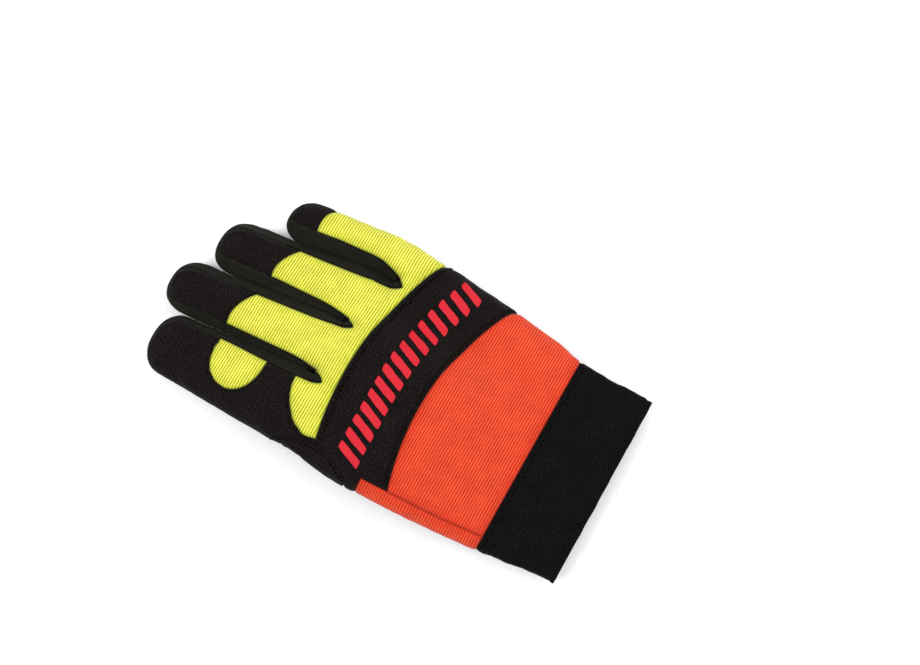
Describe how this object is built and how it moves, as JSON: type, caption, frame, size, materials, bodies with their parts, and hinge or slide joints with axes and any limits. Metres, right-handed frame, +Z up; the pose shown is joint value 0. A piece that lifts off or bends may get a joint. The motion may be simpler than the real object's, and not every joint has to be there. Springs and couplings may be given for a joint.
{
  "type": "work glove",
  "caption": "Right-hand work glove lying back up, with ribbed bright back panels, black fingers with side walls, a wide cuff with a wrist strap, and the thumb folded under the palm.",
  "frame": {"origin": "centre of the bounding box in plan, at the height of the surface that the glove lies on", "axes": "+Y from the open end of the cuff to the fingertips, +Z up out of the back of the hand, +X towards the little-finger side"},
  "size_m": [0.125, 0.2438, 0.0342],
  "materials": {
    "lime_knit": "ribbed stretch fabric, bright yellow-green",
    "orange_knit": "finely ribbed stretch fabric, bright orange",
    "suede": "matte synthetic suede, warm black",
    "padded_suede": "matte synthetic suede over thin foam, stitched round",
    "side_fabric": "smooth black stretch fabric",
    "neoprene": "foam sheet faced with fine black ribbed knit",
    "coated_tab": "smooth coated cloth, charcoal grey",
    "binding_tape": "folded edge tape, grey, slightly shiny",
    "loop_pile": "fuzzy loop pile, black"
  },
  "bodies": {
    "root": {"cuff": "neoprene", "side_strip": "orange_knit", "back_panel": "orange_knit", "back_band": "suede", "knuckle_panel": "lime_knit", "thumb_gusset": "suede", "index_back": "suede", "index_patch": "lime_knit", "middle_tip": "suede", "ring_tip": "suede", "little_tip": "suede", "fourchette_index_middle": "side_fabric", "fourchette_middle_ring": "side_fabric", "fourchette_ring_little": "side_fabric", "thumb": "suede", "wrist_panel": "neoprene", "palm_panel": "suede", "palm_patch": "suede", "index_palm": "suede", "middle_palm": "suede", "ring_palm": "suede", "little_palm": "suede", "heel_pad": "padded_suede", "thumb_pad": "padded_suede", "strap_base": "binding_tape", "strap_binding": "binding_tape", "strap_tab": "coated_tab", "loop_patch": "loop_pile"}
  },
  "joints": []
}
